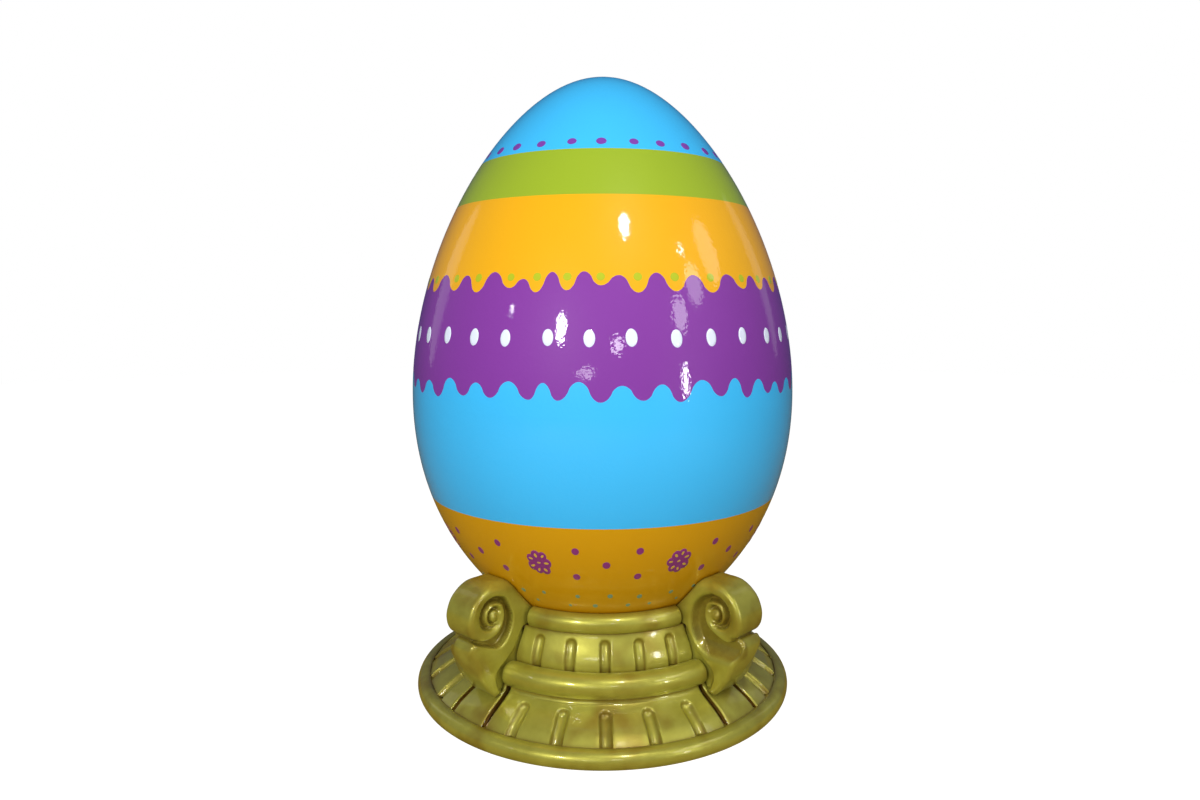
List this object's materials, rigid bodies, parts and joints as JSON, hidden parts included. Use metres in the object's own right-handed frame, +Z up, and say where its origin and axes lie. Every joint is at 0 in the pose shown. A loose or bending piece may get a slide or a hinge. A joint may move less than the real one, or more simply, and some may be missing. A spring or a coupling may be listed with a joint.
{
  "type": "decorative egg on stand",
  "caption": "Tall hollow painted display egg that lifts off a round gilded pedestal with scroll brackets, fluted panels and rounded beads.",
  "frame": {"origin": "on the floor under the middle of the pedestal", "axes": "+Z up along the egg's axis, -Y towards the front of the picture, +X to its right"},
  "size_m": [1.2598, 1.2598, 1.9917],
  "materials": {
    "egg_paint": "high-gloss two-part paint with a painted Easter pattern on fibreglass laminate",
    "raw_laminate": "unpainted fibreglass laminate",
    "gold_paint": "semi-gloss antique gold paint with brown shading in the hollows, on moulded fibreglass and cast resin",
    "plywood": "bare birch plywood",
    "primed_steel": "grey primer on steel",
    "plated_steel": "zinc-plated steel",
    "insert_brass": "turned brass",
    "pad_rubber": "matt black rubber"
  },
  "bodies": {
    "stand": {"base_rim": "gold_paint", "base_board": "plywood", "top_board": "plywood", "egg_rest_pads": "pad_rubber", "skirt_panel_front": "gold_paint", "skirt_panel_right": "gold_paint", "skirt_panel_back": "gold_paint", "skirt_panel_left": "gold_paint", "middle_bead_front": "gold_paint", "middle_bead_right": "gold_paint", "middle_bead_back": "gold_paint", "middle_bead_left": "gold_paint", "drum_panel_front": "gold_paint", "drum_panel_right": "gold_paint", "drum_panel_back": "gold_paint", "drum_panel_left": "gold_paint", "collar_bead_front": "gold_paint", "collar_bead_right": "gold_paint", "collar_bead_back": "gold_paint", "collar_bead_left": "gold_paint", "plinth_panel_front_right": "gold_paint", "plinth_panel_back_right": "gold_paint", "plinth_panel_back_left": "gold_paint", "plinth_panel_front_left": "gold_paint", "scroll_bracket_front_right": "gold_paint", "scroll_bracket_back_right": "gold_paint", "scroll_bracket_back_left": "gold_paint", "scroll_bracket_front_left": "gold_paint", "rib_pair_front_right": "plywood", "rib_pair_back_right": "plywood", "rib_pair_back_left": "plywood", "rib_pair_front_left": "plywood", "bracket_backing_front_right": "plywood", "bracket_backing_back_right": "plywood", "bracket_backing_back_left": "plywood", "bracket_backing_front_left": "plywood", "bracket_bolts": "plated_steel", "bracket_washers": "plated_steel", "bracket_inserts": "insert_brass", "post_tube": "primed_steel", "post_foot_plate": "primed_steel", "post_foot_gussets": "primed_steel", "post_foot_bolts": "plated_steel", "post_foot_washers": "plated_steel", "post_foot_nuts": "plated_steel", "post_cap": "primed_steel", "post_steady_plate": "primed_steel"},
    "egg": {"egg_upper_shell": "egg_paint", "egg_lower_shell": "egg_paint", "egg_joint_ring": "raw_laminate", "egg_floor_board": "plywood", "egg_socket_tube": "primed_steel", "egg_socket_cap": "primed_steel", "egg_socket_flange": "primed_steel", "egg_socket_gussets": "primed_steel", "egg_floor_bolts": "plated_steel", "egg_floor_washers": "plated_steel", "egg_floor_nuts": "plated_steel"}
  },
  "joints": [
    {"name": "egg_lift", "type": "slide", "parent": "stand", "child": "egg", "axis": [0, 0, 1], "range_m": [0, 0.35]}
  ]
}
